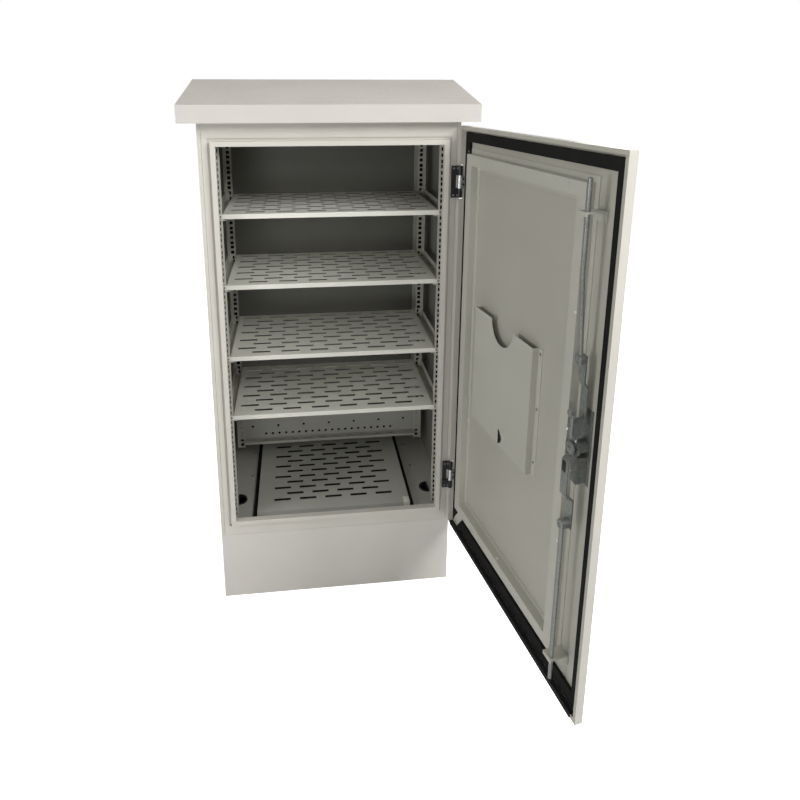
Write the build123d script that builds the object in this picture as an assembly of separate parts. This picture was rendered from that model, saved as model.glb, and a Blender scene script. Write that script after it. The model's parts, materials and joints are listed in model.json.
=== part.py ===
from build123d import *
from math import atan2, cos, degrees, hypot, pi, sin
import os

# Roadside utility cabinet: a folded sheet body on a plinth, a gable roof, rack rails with four slotted shelves, and
# one door with a rod lock. Millimetres, +X right, +Y back, +Z up. The origin is on the ground at the plinth's centre.
# Depths in this file are measured back from the body's front face, and every piece is moved to the origin when saved.
# The door's pieces are drawn closed and turned about the hinge pins to the open rest position.

# Body
body_width = 640.0
body_depth = 530.0
plinth_height = 200.0
body_height = 1145.0
sheet = 1.5
heavy_sheet = 2.0
fit_gap = 0.3
seam_gap = 0.6
side_return = 9.0
back_return = 20.0

# Door opening, with its rain gutter and raised lip
surround_side = 42.5
opening_sill = 49.0
opening_head = 75.0
lip_width = 12.0
lip_proud = 12.0
gutter_width = 8.5
gutter_depth = 5.0
head_skirt = 19.0

# Plinth
plinth_flange = 62.0
anchor_inset_x = 60.0
anchor_inset_y = 32.0
anchor_hole_r = 7.0

# Floor and what stands on it
floor_rise = 25.0
tray_width = 436.0
tray_depth = 384.0
tray_front = 30.0
tray_shift = -5.0
tray_rise = 18.0
tray_foot = 12.0
tray_rows = 12
tray_slots = 5
tray_slot_edge = 46.0
tray_row_start = 52.0
tray_row_pitch = 28.0
entry_margin = 40.0
cable_hole_r = 22.0
cable_hole_edge = 39.0
cable_hole_depth = 119.0
grommet_wall = 2.5
grommet_rim = 2.0
grommet_height = 3.0

# Rack rails with square holes in rows of three to each rack unit
rail_front = 26.0
rail_spacing = 288.0
rail_sheet = 2.0
rail_side_gap = 23.0
rail_face = 24.0
rail_web = 60.0
rail_hole = 9.5
rail_hole_edge = 9.5
rack_unit = 44.45
unit_holes = (6.35, 22.225, 38.1)
first_unit_rise = 15.0
last_unit_drop = 30.0
rail_head_gap = 20.0
rail_rear_rise = 55.0
brace_height = 30.0
brace_drop = 5.0
brace_back_gap = 34.0

# Shelves
shelf_rises = (324.0, 494.0, 690.0, 875.0)
shelf_overhang = 25.0
shelf_flange = 15.0
shelf_lip = 12.0
shelf_ear = 10.0
shelf_rows = 10
shelf_slots = 7
slot_length = 48.0
slot_width = 9.5
slot_edge = 15.6
row_pitch = 28.8
bracket_leg = 30.0
bracket_height = 26.0
bracket_sheet = 2.0
bracket_tab = 12.0

# Rear cable bar
bar_height = 77.0
bar_rise = 83.0
bar_ledge = 25.0
bar_top_flange = 14.0
bar_tie_holes = 20
bar_tie_edge = 93.3
bar_tie_r = 4.2
bar_tie_rise = 16.0
bar_shift = -5.0
bar_lip = 6.0
bar_fix_holes = 7
bar_fix_edge = 51.7
bar_fix_r = 4.0
bar_fix_rise = 43.0
bar_slots = 10
bar_slot_edge = 96.7
bar_slot_length = 24.0
round_sides = 12

# Roof
roof_side = 40.0
roof_front = 34.0
fascia_height = 42.0
fascia_lap = 19.0
roof_rise = 59.0
roof_hem = 12.0
roof_bracket_reach = 88.0
roof_bracket_length = 370.0
roof_bracket_rise = 27.0
roof_bracket_sheet = 3.0
bolt_r = 4.0
bolt_head = 5.0
bolt_head_r = 7.5
hole_slack = 0.3

# Door
door_open = 99.4
door_head = 29.0
door_gap = 4.0
door_return = 8.0
gasket_thick = 7.0
gasket_edge = 14.0
gasket_lock_high = 20.0
gasket_lock_low = 17.0
gasket_hinge = 23.0
gasket_bottom = 30.0
gasket_top = 23.0
drip_thick = 2.0
drip_height = 11.0
drip_groove = 1.5
drip_leg = 8.0
stiff_free = 98.0
stiff_hinge = 50.0
stiff_top = 64.0
stiff_bottom = 77.0
stiff_width = 26.0
stiff_height = 19.0
stiff_foot = 12.0
tab_sheet = 2.0
tab_r = 12.0
tab_hole_r = 3.5
tab_post_r = 6.0
tab_near = (35.0, 19.0)
tab_far = (63.0, 57.0)

# Document pocket
pocket_left = 243.0
pocket_right = 130.0
pocket_bottom = 400.0
pocket_height = 290.0
pocket_depth = 16.0
pocket_foot = 16.0
pocket_scoop_r = 50.0
pocket_scoop_from = 135.0
pocket_hole_r = 18.0
pocket_hole_from = 129.0
pocket_hole_rise = 20.0

# Hinges
hinge_low_end = 147.0
hinge_high_end = 139.0
hinge_height = 80.0
hinge_middle = 33.0
hinge_forward = 6.3
knuckle_r = 6.0
pin_r = 2.5
pin_head = 1.5
running_gap = 0.05
leaf_plate = 3.0
leaf_reach = 22.0
leaf_base = 12.0
leaf_base_thick = 3.0
leaf_edge = 1.5
notch_slack = 3.0

# Rod lock
lock_edge = 65.0
lock_rise = 570.0
rod_r = 4.0
rod_depth = 16.0
rod_tip_gap = 4.0
rod_lean_from = 6.0
rod_lean_end = 160.0
rod_guide_top = 110.0
rod_guide_low = 104.0
rod_guide_sheet = 3.0
rod_guide_free = 8.0
rod_guide_hinge = 20.0
rod_guide_over = 3.0
rod_guide_foot = 20.0
rod_guide_lip = 8.0
rod_eye_up = 173.0
rod_eye_down = 159.0
rod_eye_head = 1.2
bar_width = 20.0
bar_thick = 2.5
bar_edge = 3.0
bar_lap = 2.0
bar_gusset = 2.5
bar_gusset_path = ((66.0, -12.5), (56.0, 9.0), (22.0, 2.0), (52.0, -13.0))
bar_high_path = ((22.0, 0.0), (52.0, -14.55), (120.0, -14.55), (130.0, -6.55), (183.0, -6.55))
bar_low_path = ((14.0, 0.0), (25.0, 10.4), (94.0, 10.4), (106.0, -5.85), (169.0, -5.85))
lock_plate_width = 36.0
lock_plate_height = 150.0
lock_boss_r = 13.0
lock_case_width = 25.0
lock_case_height = 55.0
lock_case_depth = 19.0
lock_case_round = 4.0
cam_r = 17.0
cam_thick = 3.0
cam_pin_r = 2.5
cam_pin_arm = 14.0
cam_pin_swing = 0.22
spindle_r = 5.0

# Outside handle
handle_width = 34.0
handle_height = 190.0
handle_base_depth = 10.0
handle_above_spindle = 30.0
handle_round = 8.0
lever_length = 135.0
lever_gap = 0.4
lever_pin_r = 1.5
hub_half = 11.0
hub_depth = 8.0
hub_fillet = 3.0
ear_thick = 3.0
key_r = 8.0
key_drop = 45.0
key_sunk = 0.5
key_inside = 6.0

# Positions worked out from the sizes above
half_width = body_width / 2
body_top = plinth_height + body_height
floor_top = plinth_height + floor_rise
opening_x = half_width - surround_side
opening_low = plinth_height + opening_sill
opening_high = body_top - opening_head
panel_inner = half_width - sheet
door_low = plinth_height
door_high = body_top - door_head
skin_inner = -lip_proud - fit_gap - gasket_thick
skin_outer = skin_inner - sheet
hinge_x = half_width
hinge_y = -hinge_forward
hinge_heights = (door_low + hinge_low_end, door_high - hinge_high_end)
rail_rear = rail_front + rail_spacing
rail_outer_x = half_width - rail_side_gap
rail_inner_x = rail_outer_x - rail_face
rail_length = body_top - rail_head_gap - floor_top
rack_units = int((rail_length - first_unit_rise - last_unit_drop) // rack_unit)
lock_x = -half_width + lock_edge
lock_z = door_low + lock_rise


def block(x0, x1, y0, y1, z0, z1):
    """A box between two corners."""
    return Pos((x0 + x1) / 2, (y0 + y1) / 2, (z0 + z1) / 2) * Box(abs(x1 - x0), abs(y1 - y0), abs(z1 - z0))


def rod(x, y, z, r, length, along):
    """A cylinder that starts at a point and runs along X, Y or Z."""
    turn = {"x": Rot(0, 90, 0), "y": Rot(-90, 0, 0), "z": Rot(0, 0, 0)}[along]
    return Pos(x, y, z) * turn * Cylinder(r, length, align=(Align.CENTER, Align.CENTER, Align.MIN))


def prism(corners, along, start, end):
    """A flat outline pulled along one axis: corners are (y, z) for X, (x, z) for Y and (x, y) for Z."""
    places = {"x": lambda a, b: (start, a, b), "y": lambda a, b: (a, start, b), "z": lambda a, b: (a, b, start)}
    pull = {"x": (end - start, 0, 0), "y": (0, end - start, 0), "z": (0, 0, end - start)}[along]
    outline = Wire.make_polygon([places[along](a, b) for a, b in corners], close=True)
    return Part() + Solid.extrude(Face(outline), Vector(*pull))


def folded(path, thick):
    """The outline of a folded sheet whose one face follows the path, with the sheet to the left of it."""
    other = []
    for i, (a, b) in enumerate(path):
        before = path[max(i - 1, 0)]
        after = path[min(i + 1, len(path) - 1)]
        normals = []
        for p, q in ((before, (a, b)), ((a, b), after)):
            run = hypot(q[0] - p[0], q[1] - p[1])
            if run > 0:
                normals.append((-(q[1] - p[1]) / run, (q[0] - p[0]) / run))
        nx = sum(n[0] for n in normals) / len(normals)
        ny = sum(n[1] for n in normals) / len(normals)
        grow = thick / (nx * nx + ny * ny)
        other.append((a + nx * grow, b + ny * grow))
    return list(path) + other[::-1]


def plate(x0, x1, y0, y1, z, thick, holes):
    """A level sheet with slots and holes, each hole a wire at the sheet's lower face."""
    outline = Wire.make_polygon([(x0, y0, z), (x1, y0, z), (x1, y1, z), (x0, y1, z)], close=True)
    return Part() + Solid.extrude(Face(outline, holes), Vector(0, 0, thick))


def upright_plate(x0, x1, z0, z1, y, thick, holes):
    """An upright sheet that faces the front, with holes as wires at its front face."""
    outline = Wire.make_polygon([(x0, y, z0), (x1, y, z0), (x1, y, z1), (x0, y, z1)], close=True)
    return Part() + Solid.extrude(Face(outline, holes), Vector(0, thick, 0))


def level_slot(x, y, z, length, width):
    """A straight slot's outline in a level sheet, as a rectangle."""
    a, b = length / 2, width / 2
    corners = [(x - a, y - b, z), (x + a, y - b, z), (x + a, y + b, z), (x - a, y + b, z)]
    return Wire.make_polygon(corners, close=True)


def upright_square(x, y, z, size):
    """A square hole's outline in an upright sheet."""
    a = size / 2
    return Wire.make_polygon([(x - a, y, z - a), (x + a, y, z - a), (x + a, y, z + a), (x - a, y, z + a)], close=True)


def upright_round(x, y, z, r):
    """A round hole's outline in an upright sheet, as a polygon."""
    turns = [2 * pi * i / round_sides for i in range(round_sides)]
    return Wire.make_polygon([(x + r * cos(turn), y, z + r * sin(turn)) for turn in turns], close=True)


def half_disc(x, y, z, r, height, side, grow):
    """An upright half cylinder whose flat face looks to one side wall, made larger all round by a distance."""
    round_part = rod(x, y, z, r + grow, height, "z")
    flat = x + side * grow
    return round_part & block(flat - side * 2 * r, flat, y - 2 * r, y + 2 * r, z, z + height)


def ring(inner, outer, y0, y1):
    """A rectangular frame between two rectangles (x0, x1, z0, z1)."""
    solid = block(outer[0], outer[1], y0, y1, outer[2], outer[3])
    return solid - block(inner[0], inner[1], y0 - 1, y1 + 1, inner[2], inner[3])


def grown(rectangle, by):
    """A rectangle (x0, x1, z0, z1) made larger all round."""
    return (rectangle[0] - by, rectangle[1] + by, rectangle[2] - by, rectangle[3] + by)


def mitred(frame, inner, reach, y0, y1):
    """Cuts a rectangular frame at its corners into left, right, bottom and top."""
    x0, x1, z0, z1 = inner
    left = [(x0, z0), (x0, z1), (x0 - reach, z1 + reach), (x0 - reach, z0 - reach)]
    right = [(x1, z0), (x1 + reach, z0 - reach), (x1 + reach, z1 + reach), (x1, z1)]
    low = [(x0, z0), (x0 - reach, z0 - reach), (x1 + reach, z0 - reach), (x1, z0)]
    high = [(x0, z1), (x1, z1), (x1 + reach, z1 + reach), (x0 - reach, z1 + reach)]
    return [frame & prism(side, "y", y0, y1) for side in (left, right, low, high)]


saved = []


def save(name, shape, on_door=False):
    """Writes one piece at its rest position."""
    if on_door:
        to_pin = Pos(-hinge_x, -hinge_y, 0)
        shape = Pos(hinge_x, hinge_y, 0) * Rot(0, 0, door_open) * to_pin * shape
    shape = Pos(0, -body_depth / 2, 0) * shape
    saved.append(name)
    export_step(shape, f"parts/{name}.step")


def mirror_x(shape):
    """The same piece on the other side."""
    return mirror(shape, about=Plane.YZ)


def plinth():
    """Four folded sides with an anchor flange on the ground and a seat flange for the body."""
    t = heavy_sheet
    seat = plinth_flange / 2
    section = [(seat, plinth_height), (0, plinth_height), (0, 0), (plinth_flange, 0)]
    front = prism(folded(section, t), "x", -half_width, half_width)
    for side in (-1, 1):
        front -= rod(side * (half_width - anchor_inset_x), anchor_inset_y, -1, anchor_hole_r, 2 * t + 1, "z")
    back = mirror(front, about=Plane.XZ.offset(-body_depth / 2))
    save("plinth_front", front)
    save("plinth_back", back)
    side_section = [(half_width - seat, plinth_height), (half_width, plinth_height), (half_width, 0), (half_width - seat, 0)]
    right = prism(folded(side_section, -t), "y", plinth_flange + fit_gap, body_depth - plinth_flange - fit_gap)
    wall_end = block(half_width - t, half_width, t, body_depth - t, t + fit_gap, plinth_height - t - fit_gap)
    right = right + wall_end
    save("plinth_right", right)
    save("plinth_left", mirror_x(right))


def side_panels():
    """Outer walls with a return at the front and at the back."""
    back = body_depth - sheet
    section = [
        (half_width - side_return, 0),
        (half_width, 0),
        (half_width, back),
        (half_width - back_return, back),
    ]
    right = prism(folded(section, sheet), "z", plinth_height, body_top)
    save("side_panel_right", right)
    save("side_panel_left", mirror_x(right))


def back_panel():
    """The rear sheet, fixed on the side panels' returns."""
    skin = block(-half_width, half_width, body_depth - sheet, body_depth, plinth_height, body_top)
    save("back_panel", skin)


def top_plate():
    """The body's lid under the roof, with a skirt at the front and the back."""
    low = body_top - head_skirt
    back = body_depth - 2 * sheet - fit_gap
    section = [(0, low), (0, body_top), (back, body_top), (back, low)]
    lid = prism(folded(section, -sheet), "x", -(panel_inner - side_return), panel_inner - side_return)
    wing = panel_inner - fit_gap
    lid += block(-wing, wing, sheet + fit_gap, back, body_top - sheet, body_top)
    for side in (-1, 1):
        for y in roof_bolt_depths():
            lid -= rod(side * roof_bolt_x(), y, body_top - 2 * sheet, bolt_r + hole_slack, 3 * sheet, "z")
    save("top_plate", lid)


def opening_frame():
    """The surround of the opening: strip, gutter and raised lip, mitred at the corners."""
    hole = (-opening_x, opening_x, opening_low, opening_high)
    edge = half_width - side_return - seam_gap
    outer = (-edge, edge, plinth_height + seam_gap, body_top - head_skirt - seam_gap)
    lip = grown(hole, lip_width)
    gutter = grown(lip, gutter_width)
    frame = ring(hole, lip, -lip_proud, -lip_proud + sheet)
    frame += ring(hole, grown(hole, sheet), -lip_proud, gutter_depth)
    frame += ring(grown(lip, -sheet), lip, -lip_proud, gutter_depth)
    frame += ring(grown(lip, -sheet), gutter, gutter_depth - sheet, gutter_depth)
    frame += ring(grown(gutter, -sheet), gutter, 0, gutter_depth)
    frame += ring(grown(gutter, -sheet), outer, 0, sheet)
    frame += ring(grown(outer, -sheet), outer, 0, gutter_depth)
    names = ("frame_left", "frame_right", "frame_bottom", "frame_top")
    for name, piece in zip(names, mitred(frame, hole, surround_side * 2, -lip_proud - 1, gutter_depth + 1)):
        save(name, piece)


def floor_pan():
    """The floor, turned down to the plinth all round, with a cable entry under the tray and two cable holes."""
    front = gutter_depth + fit_gap
    back = body_depth - 2 * sheet - fit_gap
    wide = panel_inner - fit_gap
    z = floor_top - sheet
    entry_x = tray_width / 2 - entry_margin
    entry = level_slot(
        tray_shift, tray_front + tray_depth / 2, z, 2 * entry_x, tray_depth - 2 * entry_margin
    )
    hole_x = half_width - cable_hole_edge
    deck = plate(-wide, wide, front, back, z, sheet, [entry])
    for side in (-1, 1):
        deck -= half_disc(side * hole_x, cable_hole_depth, z - 1, cable_hole_r, sheet + 2, side, 0)
    rim = block(-wide, wide, front, back, plinth_height, floor_top)
    rim -= block(-wide + sheet, wide - sheet, front + sheet, back - sheet, plinth_height - 1, floor_top + 1)
    deck = deck + rim
    save("floor_pan", deck)


def cable_grommets():
    """A rubber edging in each half-round cable hole, lipped over the floor."""
    z = floor_top - sheet
    for side, name in ((-1, "cable_grommet_left"), (1, "cable_grommet_right")):
        x = side * (half_width - cable_hole_edge)
        y = cable_hole_depth
        body = half_disc(x, y, z - grommet_height, cable_hole_r, 2 * grommet_height + sheet, side, -fit_gap)
        rim_z = floor_top + fit_gap
        body += half_disc(x, y, rim_z, cable_hole_r, grommet_height - fit_gap, side, grommet_rim)
        body -= half_disc(x, y, z - 2 * grommet_height, cable_hole_r, 5 * grommet_height, side, -grommet_wall)
        save(name, body)


def slot_rows(centre_x, width, edge, z, rows, most, first_y, gap, fewer_first=0):
    """Staggered rows of slots between the side edges of a sheet, every second row one slot shorter."""
    pitch = (width - 2 * edge - slot_length) / (most - 1)
    wires = []
    for row in range(rows):
        count = most - (row + fewer_first) % 2
        for i in range(count):
            x = centre_x + (i - (count - 1) / 2) * pitch
            wires.append(level_slot(x, first_y + row * gap, z, slot_length, slot_width))
    return wires


def floor_tray():
    """The raised slotted cover of the cable entry, with feet on the floor."""
    top = floor_top + tray_rise
    x0, x1 = tray_shift - tray_width / 2, tray_shift + tray_width / 2
    y0, y1 = tray_front, tray_front + tray_depth
    first = y0 + tray_row_start
    z = top - sheet
    wires = slot_rows(tray_shift, tray_width, tray_slot_edge, z, tray_rows, tray_slots, first, tray_row_pitch)
    deck = plate(x0, x1, y0, y1, z, sheet, wires)
    deck += block(x0, x0 + sheet, y0, y1, floor_top, top)
    deck += block(x1 - sheet, x1, y0, y1, floor_top, top)
    deck += block(x0, x1, y0, y0 + sheet, floor_top + fit_gap, top)
    deck += block(x0, x1, y1 - sheet, y1, floor_top + fit_gap, top)
    deck += block(x0 - tray_foot, x0 + sheet, y0, y1, floor_top, floor_top + sheet)
    deck += block(x1 - sheet, x1 + tray_foot, y0, y1, floor_top, floor_top + sheet)
    save("floor_tray", deck)


def rack_rails():
    """Four angle rails, the holes in the face that looks to the front."""
    x0, x1 = rail_inner_x, rail_outer_x
    high = floor_top + rail_length
    hole_x = rail_inner_x + rail_hole_edge
    first = floor_top + first_unit_rise
    heights = [first + unit * rack_unit + rise for unit in range(rack_units) for rise in unit_holes]
    for depth, where, low in (
        (rail_front, "front", floor_top),
        (rail_rear, "rear", floor_top + rail_rear_rise),
    ):
        holes = [upright_square(hole_x, depth, z, rail_hole) for z in heights if z > low + rail_hole]
        rail = upright_plate(x0, x1, low, high, depth, rail_sheet, holes)
        rail += block(x1 - rail_sheet, x1, depth, depth + rail_web, low, high)
        save(f"rail_{where}_right", rail)
        save(f"rail_{where}_left", mirror_x(rail))


def rail_braces():
    """Channels along the side walls that carry the rails' tops."""
    x0, x1 = rail_outer_x, panel_inner - fit_gap
    high = floor_top + rail_length - brace_drop
    low = high - brace_height
    section = [(x1, high), (x0, high), (x0, low), (x1, low)]
    right = prism(folded(section, sheet), "y", rail_front, body_depth - brace_back_gap)
    save("rail_brace_right", right)
    save("rail_brace_left", mirror_x(right))


def shelves():
    """Four slotted shelves with down-turned edges, each on two angle brackets between the rails."""
    wide = rail_inner_x - 2 * fit_gap
    front = rail_front - sheet - fit_gap
    back = front + rail_spacing + shelf_overhang
    ear = rail_inner_x + shelf_ear
    for number, rise in enumerate(shelf_rises, start=1):
        top = floor_top + rise
        first = (front + back) / 2 - row_pitch * (shelf_rows - 1) / 2
        wires = slot_rows(0, 2 * wide, slot_edge, top - sheet, shelf_rows, shelf_slots, first, row_pitch, 1)
        deck = plate(-wide, wide, front, back, top - sheet, sheet, wires)
        deck += block(-ear, ear, front, front + sheet, top - shelf_lip, top)
        deck += block(-wide, wide, back - sheet, back, top - shelf_flange, top)
        inside_front = rail_front + rail_sheet + fit_gap
        for side in (-1, 1):
            deck += block(side * wide, side * (wide - sheet), inside_front, back, top - shelf_flange, top)
        save(f"shelf_{number}", deck)
        seat = top - shelf_flange
        outer = rail_outer_x - rail_sheet - fit_gap
        y0 = rail_front + rail_sheet + fit_gap
        y1 = rail_rear - fit_gap
        low = seat - bracket_sheet
        section = [(outer - bracket_leg, low), (outer, low), (outer, low + bracket_height)]
        bracket = prism(folded(section, bracket_sheet), "y", y0, y1)
        for y in (y0, y1 - bracket_sheet):
            bracket += block(outer - bracket_tab, outer, y, y + bracket_sheet, low, low + bracket_height)
        save(f"shelf_{number}_brackets", Compound([*bracket.solids(), *mirror_x(bracket).solids()]))


def cable_bar():
    """The perforated bar across the rear rails, with a slotted ledge towards the front."""
    low = floor_top + bar_rise
    high = low + bar_height
    y = rail_rear + rail_sheet
    reach = rail_outer_x - rail_sheet - fit_gap
    inner = rail_inner_x - fit_gap

    def spread(count, edge):
        pitch = 2 * (reach - edge) / (count - 1)
        return [(i - (count - 1) / 2) * pitch + bar_shift for i in range(count)]

    holes = [upright_round(x, y, low + bar_tie_rise, bar_tie_r) for x in spread(bar_tie_holes, bar_tie_edge)]
    holes += [upright_round(x, y, low + bar_fix_rise, bar_fix_r) for x in spread(bar_fix_holes, bar_fix_edge)]
    bar = upright_plate(-reach, reach, low, high, y, sheet, holes)
    slots = [level_slot(x, y - bar_ledge / 2, low, bar_slot_length, slot_width) for x in spread(bar_slots, bar_slot_edge)]
    bar += plate(-inner, inner, y - bar_ledge, y + sheet, low, sheet, slots)
    bar += block(-inner, inner, y - bar_ledge, y - bar_ledge + sheet, low - bar_lip, low + sheet)
    bar += block(-inner, inner, y, y + bar_top_flange, high - sheet, high)
    save("cable_bar", bar)


def roof_bolt_x():
    return half_width + roof_side - sheet - fit_gap - roof_bracket_reach + 2 * bolt_head_r


def roof_bolt_depths():
    middle = body_depth / 2
    reach = roof_bracket_length / 2 - 3 * bolt_head_r
    return (middle - reach, middle + reach)


def roof():
    """A gable pan with a fascia and a hem, carried on two angle brackets bolted to the top plate."""
    low = body_top - fascia_lap
    eave = low + fascia_height
    ridge = eave + roof_rise
    y0, y1 = -roof_front, body_depth + roof_front
    middle = body_depth / 2
    x1 = half_width + roof_side
    outside = [(y0, low), (y0, eave), (middle, ridge), (y1, eave), (y1, low)]
    slope = hypot(roof_rise, middle - y0)
    drop = sheet * slope / (middle - y0)
    lift = (sheet * roof_rise / (middle - y0)) - drop
    inside = [
        (y0 + sheet, low - 1),
        (y0 + sheet, eave + lift),
        (middle, ridge - drop),
        (y1 - sheet, eave + lift),
        (y1 - sheet, low - 1),
    ]
    cover = prism(outside, "x", -x1, x1) - prism(inside, "x", -x1 + sheet, x1 - sheet)
    hem = block(-x1, x1, y0, y1, low, low + sheet)
    hem -= block(-x1 + roof_hem, x1 - roof_hem, y0 + roof_hem, y1 - roof_hem, low - 1, low + 2 * sheet)
    cover += hem
    save("roof_cover", cover)
    reach = x1 - sheet - fit_gap
    t = roof_bracket_sheet
    section = [(reach - roof_bracket_reach, body_top), (reach, body_top), (reach, body_top + roof_bracket_rise)]
    length = roof_bracket_length / 2
    right = prism(folded(section, t), "y", middle - length, middle + length)
    bolts = []
    for y in roof_bolt_depths():
        right -= rod(roof_bolt_x(), y, body_top - 1, bolt_r + hole_slack, t + 2, "z")
    for side in (-1, 1):
        for y in roof_bolt_depths():
            hexagon = extrude(RegularPolygon(bolt_head_r, 6), bolt_head)
            bolt = Pos(side * roof_bolt_x(), y, body_top + t) * hexagon
            bolt += rod(side * roof_bolt_x(), y, body_top - 4 * sheet, bolt_r, 4 * sheet + t, "z")
            bolts.append(bolt.solid())
    save("roof_bracket_right", right)
    save("roof_bracket_left", mirror_x(right))
    save("roof_bolts", Compound(bolts))


def door_pan():
    """The door's skin with its flanges, turned in at the top, the bottom and the free side."""
    edge = (-half_width, half_width, door_low, door_high)
    skin = block(edge[0], edge[1], skin_outer, skin_inner, edge[2], edge[3])
    skin += ring(grown(edge, -sheet), edge, skin_outer, -door_gap)
    lips = ring(grown(edge, -door_return), edge, -door_gap - sheet, -door_gap)
    clear = half_width - gasket_edge - sheet
    lips -= block(clear, half_width, skin_outer, 0, door_low - 1, door_high + 1)
    skin += lips
    clear_y = hinge_y - knuckle_r - seam_gap
    reach_z = hinge_height / 2 + notch_slack
    for z in hinge_heights:
        skin -= block(half_width - 2 * sheet, half_width + 1, clear_y, 0, z - reach_z, z + reach_z)
    skin -= rod(lock_x, skin_outer - 1, lock_z, spindle_r + running_gap, sheet + 2, "y")
    skin -= rod(lock_x, skin_outer - 1, lock_z - key_drop, key_r + running_gap, sheet + 2, "y")
    save("door_pan", skin, True)


def tab_outline(grow, y, thick):
    """The corner tab's stadium shape on the door, made larger all round by a distance."""
    ends = [(half_width - across, door_low + rise) for across, rise in (tab_near, tab_far)]
    r = tab_r + grow
    shape = rod(ends[0][0], y, ends[0][1], r, thick, "y") + rod(ends[1][0], y, ends[1][1], r, thick, "y")
    run = hypot(ends[1][0] - ends[0][0], ends[1][1] - ends[0][1])
    nx = (ends[1][1] - ends[0][1]) / run * r
    nz = -(ends[1][0] - ends[0][0]) / run * r
    corners = [(a + way * nx, b + way * nz) for (a, b), way in zip(ends + ends[::-1], (1, 1, -1, -1))]
    return shape + prism(corners, "y", y, y + thick)


def door_gasket():
    """A foam strip round the skin that meets the lip of the opening, pressed down under the corner tab."""
    x0, x1 = -half_width + gasket_edge, half_width - gasket_edge
    z0, z1 = door_low + gasket_edge, door_high - gasket_edge
    inside = [
        (x0 + gasket_lock_low, z0 + gasket_bottom),
        (x1 - gasket_hinge, z0 + gasket_bottom),
        (x1 - gasket_hinge, z1 - gasket_top),
        (x0 + gasket_lock_high, z1 - gasket_top),
    ]
    foam = block(x0, x1, skin_inner, skin_inner + gasket_thick, z0, z1)
    foam -= prism(inside, "y", skin_inner - 1, skin_inner + gasket_thick + 1)
    under = skin_inner + gasket_thick - tab_sheet - 2 * fit_gap
    foam -= tab_outline(fit_gap, under, gasket_thick)
    across, rise = tab_near
    foam -= rod(half_width - across, skin_inner - 1, door_low + rise, tab_post_r + fit_gap, gasket_thick, "y")
    save("door_gasket", foam, True)


def corner_tab():
    """A plate with two holes on two posts, at the lower corner by the hinges."""
    top = skin_inner + gasket_thick - fit_gap
    tab = tab_outline(0, top - tab_sheet, tab_sheet)
    for across, rise in (tab_near, tab_far):
        x, z = half_width - across, door_low + rise
        tab += rod(x, skin_inner, z, tab_post_r, top - skin_inner - tab_sheet / 2, "y")
    for across, rise in (tab_near, tab_far):
        tab -= rod(half_width - across, skin_inner - 1, door_low + rise, tab_hole_r, top - skin_inner + 2, "y")
    save("corner_tab", tab, True)


def drip_seal():
    """A rubber edging on the door's lower return, in two strips with a groove between them."""
    x = half_width - gasket_edge - 2 * sheet
    y0 = -door_gap
    y1 = y0 + drip_thick
    groove = door_low + drip_height / 2 - drip_groove
    low = block(-x, x, y0, y1, door_low + fit_gap, groove)
    low += block(-x, x, y0, y0 + drip_thick / 2, groove - fit_gap, groove + drip_groove + fit_gap)
    low += block(-x, x, y0, y1, groove + drip_groove, door_low + drip_height)
    low += block(-x, x, y0 - drip_leg, y1, door_low + door_return + fit_gap, door_low + drip_height)
    save("door_drip_seal", low, True)


def stiffener():
    """A hat section ring on the skin, mitred at the corners."""
    outer = (-half_width + stiff_free, half_width - stiff_hinge, door_low + stiff_bottom, door_high - stiff_top)
    inner = grown(outer, -stiff_width)
    high = skin_inner + stiff_height
    hat = ring(inner, outer, high - sheet, high)
    hat += ring(grown(outer, -sheet), outer, skin_inner, high)
    hat += ring(inner, grown(inner, sheet), skin_inner, high)
    hat += ring(grown(outer, -sheet), grown(outer, stiff_foot), skin_inner, skin_inner + sheet)
    hat += ring(grown(inner, -stiff_foot), grown(inner, sheet), skin_inner, skin_inner + sheet)
    names = ("stiffener_lock_side", "stiffener_hinge_side", "stiffener_bottom", "stiffener_top")
    middle = grown(inner, -stiff_foot)
    reach = stiff_width + 3 * stiff_foot
    for name, piece in zip(names, mitred(hat, middle, reach, skin_inner - 1, high + 1)):
        save(name, piece, True)


def document_pocket():
    """A folded sheet pocket on the skin, open at the top, with a round finger scoop."""
    x0 = -half_width + pocket_left
    x1 = half_width - pocket_right
    z0 = door_low + pocket_bottom
    z1 = z0 + pocket_height
    face = skin_inner + pocket_depth
    section = [
        (x0 - pocket_foot, skin_inner),
        (x0, skin_inner),
        (x0, face - sheet),
        (x1, face - sheet),
        (x1, skin_inner),
        (x1 + pocket_foot, skin_inner),
    ]
    pocket = prism(folded(section, sheet), "z", z0, z1)
    pocket += block(x0, x1, skin_inner, face, z0, z0 + sheet)
    pocket -= rod(x0 + pocket_scoop_from, face - 2 * sheet, z1, pocket_scoop_r, 4 * sheet, "y")
    hole_x = x0 + pocket_hole_from
    hole = rod(hole_x, face - 2 * sheet, z0 + pocket_hole_rise, pocket_hole_r, 3 * sheet, "y")
    pocket -= hole & block(hole_x - 2 * pocket_hole_r, hole_x, skin_inner, face + 2 * sheet, z0, z1)
    save("document_pocket", pocket, True)


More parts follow.
